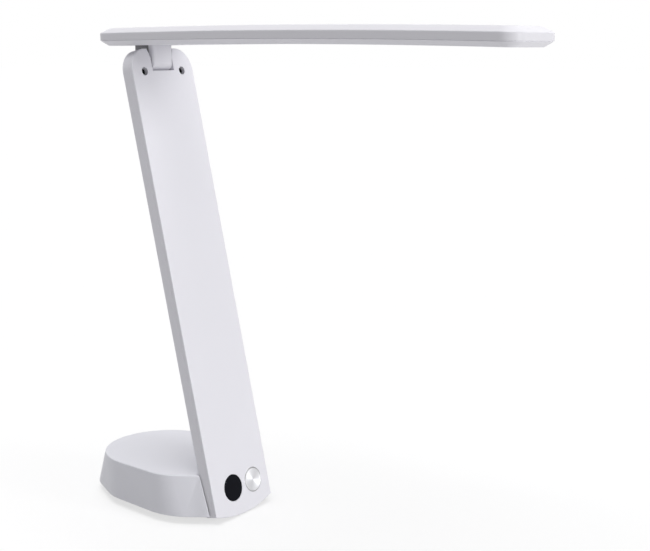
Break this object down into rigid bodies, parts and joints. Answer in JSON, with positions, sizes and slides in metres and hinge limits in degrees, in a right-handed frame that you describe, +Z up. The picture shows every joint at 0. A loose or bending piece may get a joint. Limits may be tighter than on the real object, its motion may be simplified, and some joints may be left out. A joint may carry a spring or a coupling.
{
  "type": "folding desk lamp",
  "caption": "Folding LED desk lamp: flat stem hinged on a rounded weighted base, long slim head hinged at its top, black touch window and round metal push button.",
  "frame": {"origin": "on the table, under the centre of the round rear of the base", "axes": "+Z up, -Y towards the front, where the head reaches out and the buttons face, +X to the right seen from the front; the hinge axes run along X"},
  "size_m": [0.0956, 0.3541, 0.3446],
  "materials": {
    "base_plastic": "satin white moulded plastic",
    "plate_plastic": "matte pale grey plastic",
    "ballast_iron": "raw casting",
    "foot_rubber": "soft rubber",
    "screw_steel": "zinc plated",
    "black_plastic": "black moulded plastic",
    "contact_brass": "plated",
    "hinge_steel": "stamped steel",
    "pin_steel": "ground steel",
    "washer_nylon": "black friction washer",
    "stem_plastic": "satin white moulded plastic",
    "dark_screw": "dark plated",
    "board_green": "solder mask",
    "window_black": "gloss black",
    "ring_metal": "turned",
    "button_metal": "spun finish",
    "wire_sleeve": "insulated wire",
    "head_plastic": "satin white moulded plastic",
    "tongue_plastic": "satin white moulded plastic",
    "diffuser_opal": "opal light diffuser",
    "led_board_white": "white coated aluminium core",
    "led_yellow": "phosphor"
  },
  "bodies": {
    "base": {"base_shell": "base_plastic", "bottom_plate": "plate_plastic", "ballast_weight": "ballast_iron", "rubber_feet": "foot_rubber", "plate_screws": "screw_steel", "power_inlet": "black_plastic", "inlet_contact": "contact_brass", "fold_bracket": "hinge_steel", "fold_bracket_screws": "screw_steel", "fold_pin": "pin_steel", "fold_washers": "washer_nylon"},
    "stem": {"stem_rear_shell": "stem_plastic", "stem_front_cover": "stem_plastic", "fold_leaf": "hinge_steel", "fold_leaf_screws": "screw_steel", "cover_screws": "dark_screw", "head_hinge_bracket": "hinge_steel", "bracket_screws": "screw_steel", "head_hinge_pin": "pin_steel", "head_hinge_washers": "washer_nylon", "control_board": "board_green", "tact_switch": "black_plastic", "touch_pad": "contact_brass", "touch_window": "window_black", "button_ring": "ring_metal", "stem_wires": "wire_sleeve"},
    "button": {"power_button": "button_metal"},
    "head": {"head_top_shell": "head_plastic", "head_frame": "head_plastic", "hinge_tongue": "tongue_plastic", "tongue_screws": "screw_steel", "diffuser": "diffuser_opal", "led_board": "led_board_white", "leds": "led_yellow"}
  },
  "joints": [
    {"name": "stem_fold", "type": "hinge", "parent": "base", "child": "stem", "pos_m": [0, -0.05723, 0.0301], "axis": [-1, 0, 0], "range_deg": [0, 77.3]},
    {"name": "head_tilt", "type": "hinge", "parent": "stem", "child": "head", "pos_m": [0, -0.0016, 0.31905], "axis": [1, 0, 0], "range_deg": [-20, 78]},
    {"name": "power_button_press", "type": "slide", "parent": "stem", "child": "button", "axis": [0, 0.9755, -0.2198], "range_m": [0, 0.0008], "stiffness_N_per_m": 1500, "springref_m": -0.0003}
  ]
}
